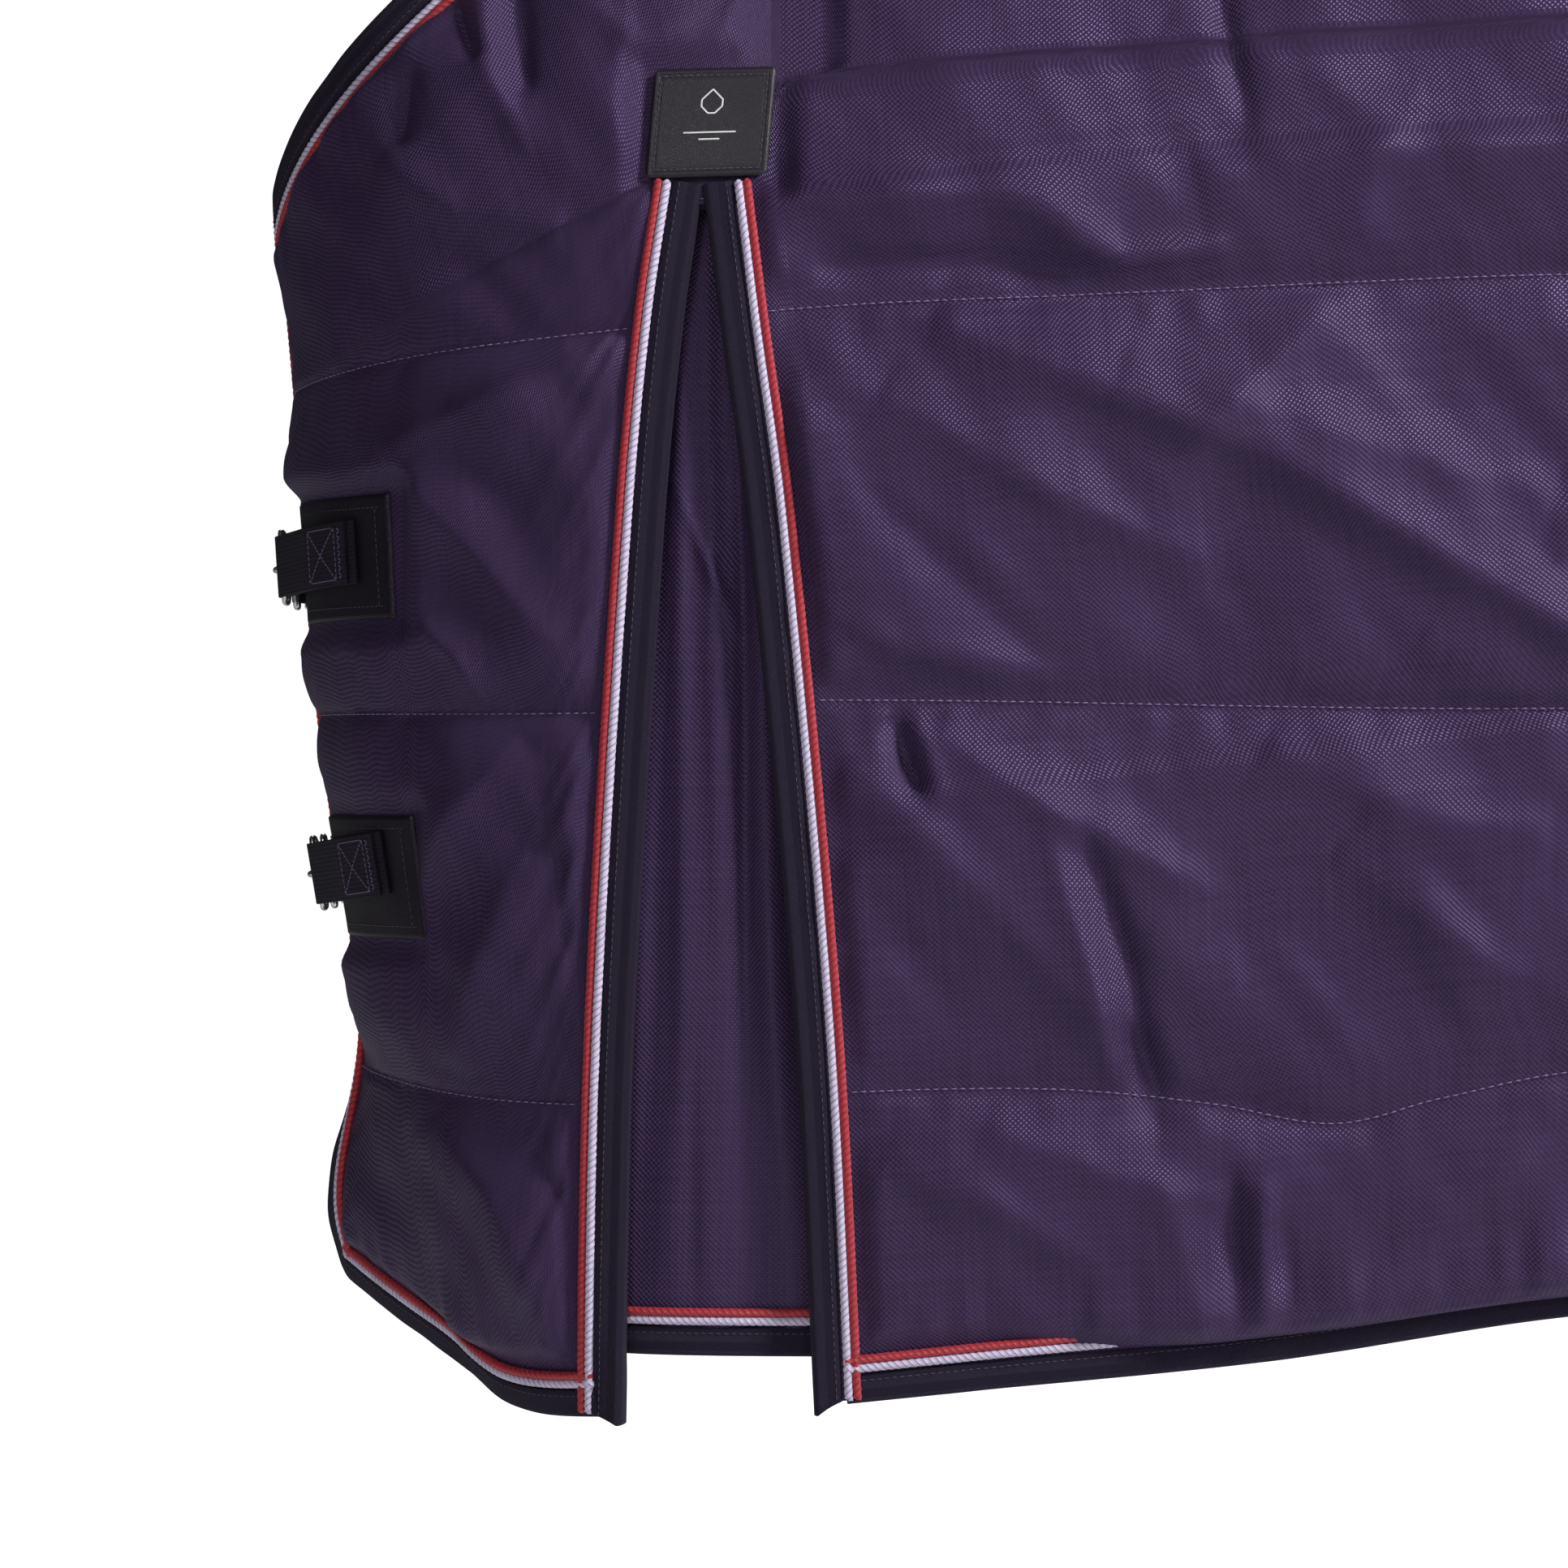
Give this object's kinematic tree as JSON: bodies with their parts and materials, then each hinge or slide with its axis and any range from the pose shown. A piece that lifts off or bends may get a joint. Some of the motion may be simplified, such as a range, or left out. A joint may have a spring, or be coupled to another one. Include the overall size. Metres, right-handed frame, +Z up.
{
  "type": "turnout rug",
  "caption": "Quilted turnout rug for a horse, shaped as worn, with shoulder gussets, clipped chest straps, crossing belly straps and a tail flap.",
  "frame": {"origin": "on the underside of the lining, on the spine line, where the rug rests on the middle of the horse's back", "axes": "-X towards the horse's head, +X towards its tail, -Y its left side, +Z up"},
  "size_m": [2.0007, 0.6107, 1.0875],
  "materials": {
    "shell": "coarse plain-woven cloth, matt",
    "wadding": "needled fibre wadding",
    "lining": "smooth woven lining",
    "binding": "herringbone twill tape",
    "piping": "one white and one red twisted cord side by side",
    "leatherette": "grained coated cloth, semi-matt",
    "webbing": "woven webbing",
    "steel": "bright plated, worn"
  },
  "bodies": {
    "rug": {"body_outer": "shell", "front_surcingle_hook": "steel", "front_surcingle_plate": "steel", "front_surcingle_strap": "webbing", "front_surcingle_tab": "webbing", "left_badge": "leatherette", "left_chest_binding": "binding", "left_chest_outer": "shell", "left_chest_piping": "piping", "left_gusset_hem_binding": "binding", "left_gusset_hem_piping": "piping", "left_gusset_panel": "shell", "left_hem_binding": "binding", "left_hem_piping": "piping", "left_slit_front_binding": "binding", "left_slit_front_piping": "piping", "left_slit_rear_binding": "binding", "left_slit_rear_piping": "piping", "lining": "lining", "lower_far_patch": "leatherette", "lower_near_patch": "leatherette", "lower_near_tab": "webbing", "lower_strap": "webbing", "lower_swivel_eye": "steel", "neck_binding": "binding", "neck_piping": "piping", "rear_surcingle_hook": "steel", "rear_surcingle_plate": "steel", "rear_surcingle_strap": "webbing", "rear_surcingle_tab": "webbing", "right_badge": "leatherette", "right_chest_binding": "binding", "right_chest_outer": "shell", "right_chest_piping": "piping", "right_gusset_hem_binding": "binding", "right_gusset_hem_piping": "piping", "right_gusset_panel": "shell", "right_hem_binding": "binding", "right_hem_piping": "piping", "right_slit_front_binding": "binding", "right_slit_front_piping": "piping", "right_slit_rear_binding": "binding", "right_slit_rear_piping": "piping", "upper_far_patch": "leatherette", "upper_near_patch": "leatherette", "upper_near_tab": "webbing", "upper_strap": "webbing", "upper_swivel_eye": "steel", "wadding": "wadding"},
    "upper_ring": {"upper_d_ring": "steel"},
    "upper_hook": {"upper_snap_hook": "steel"},
    "upper_gate": {"upper_snap_gate": "steel"},
    "upper_slider": {"upper_slider": "steel"},
    "lower_ring": {"lower_d_ring": "steel"},
    "lower_hook": {"lower_snap_hook": "steel"},
    "lower_gate": {"lower_snap_gate": "steel"},
    "lower_slider": {"lower_slider": "steel"},
    "tail_flap": {"tail_flap": "shell", "tail_flap_binding": "binding"}
  },
  "joints": [
    {"name": "upper_ring_pivot", "type": "hinge", "parent": "rug", "child": "upper_ring", "pos_m": [-1.06444, -0.05, -0.529], "axis": [-0.0639, 0, 0.998], "range_deg": [-2.5, 2.5]},
    {"name": "upper_hook_swivel", "type": "hinge", "parent": "rug", "child": "upper_hook", "pos_m": [-1.06444, 0.016, -0.529], "axis": [0, 1, 0], "range_deg": [-20, 20]},
    {"name": "upper_gate_pivot", "type": "hinge", "parent": "upper_hook", "child": "upper_gate", "pos_m": [-1.06892, -0.00345, -0.52929], "axis": [-0.0639, 0, 0.998], "range_deg": [0, 30], "stiffness_Nm_per_rad": 0.02, "springref_deg": -17.19},
    {"name": "upper_slider_slide", "type": "slide", "parent": "rug", "child": "upper_slider", "axis": [0.252, 0.9676, 0.0161], "range_m": [-0.006, 0.006]},
    {"name": "lower_ring_pivot", "type": "hinge", "parent": "rug", "child": "lower_ring", "pos_m": [-1.04295, -0.05, -0.718], "axis": [-0.1643, 0, 0.9864], "range_deg": [-2.5, 2.5]},
    {"name": "lower_hook_swivel", "type": "hinge", "parent": "rug", "child": "lower_hook", "pos_m": [-1.04295, 0.016, -0.718], "axis": [0, 1, 0], "range_deg": [-20, 20]},
    {"name": "lower_gate_pivot", "type": "hinge", "parent": "lower_hook", "child": "lower_gate", "pos_m": [-1.04739, -0.00345, -0.71874], "axis": [-0.1643, 0, 0.9864], "range_deg": [0, 30], "stiffness_Nm_per_rad": 0.02, "springref_deg": -17.19},
    {"name": "lower_slider_slide", "type": "slide", "parent": "rug", "child": "lower_slider", "axis": [0.2457, 0.9685, 0.0409], "range_m": [-0.006, 0.006]},
    {"name": "tail_flap_lift", "type": "hinge", "parent": "rug", "child": "tail_flap", "pos_m": [0.874, 0, -0.06], "axis": [0, -1, 0], "range_deg": [0, 80]}
  ]
}
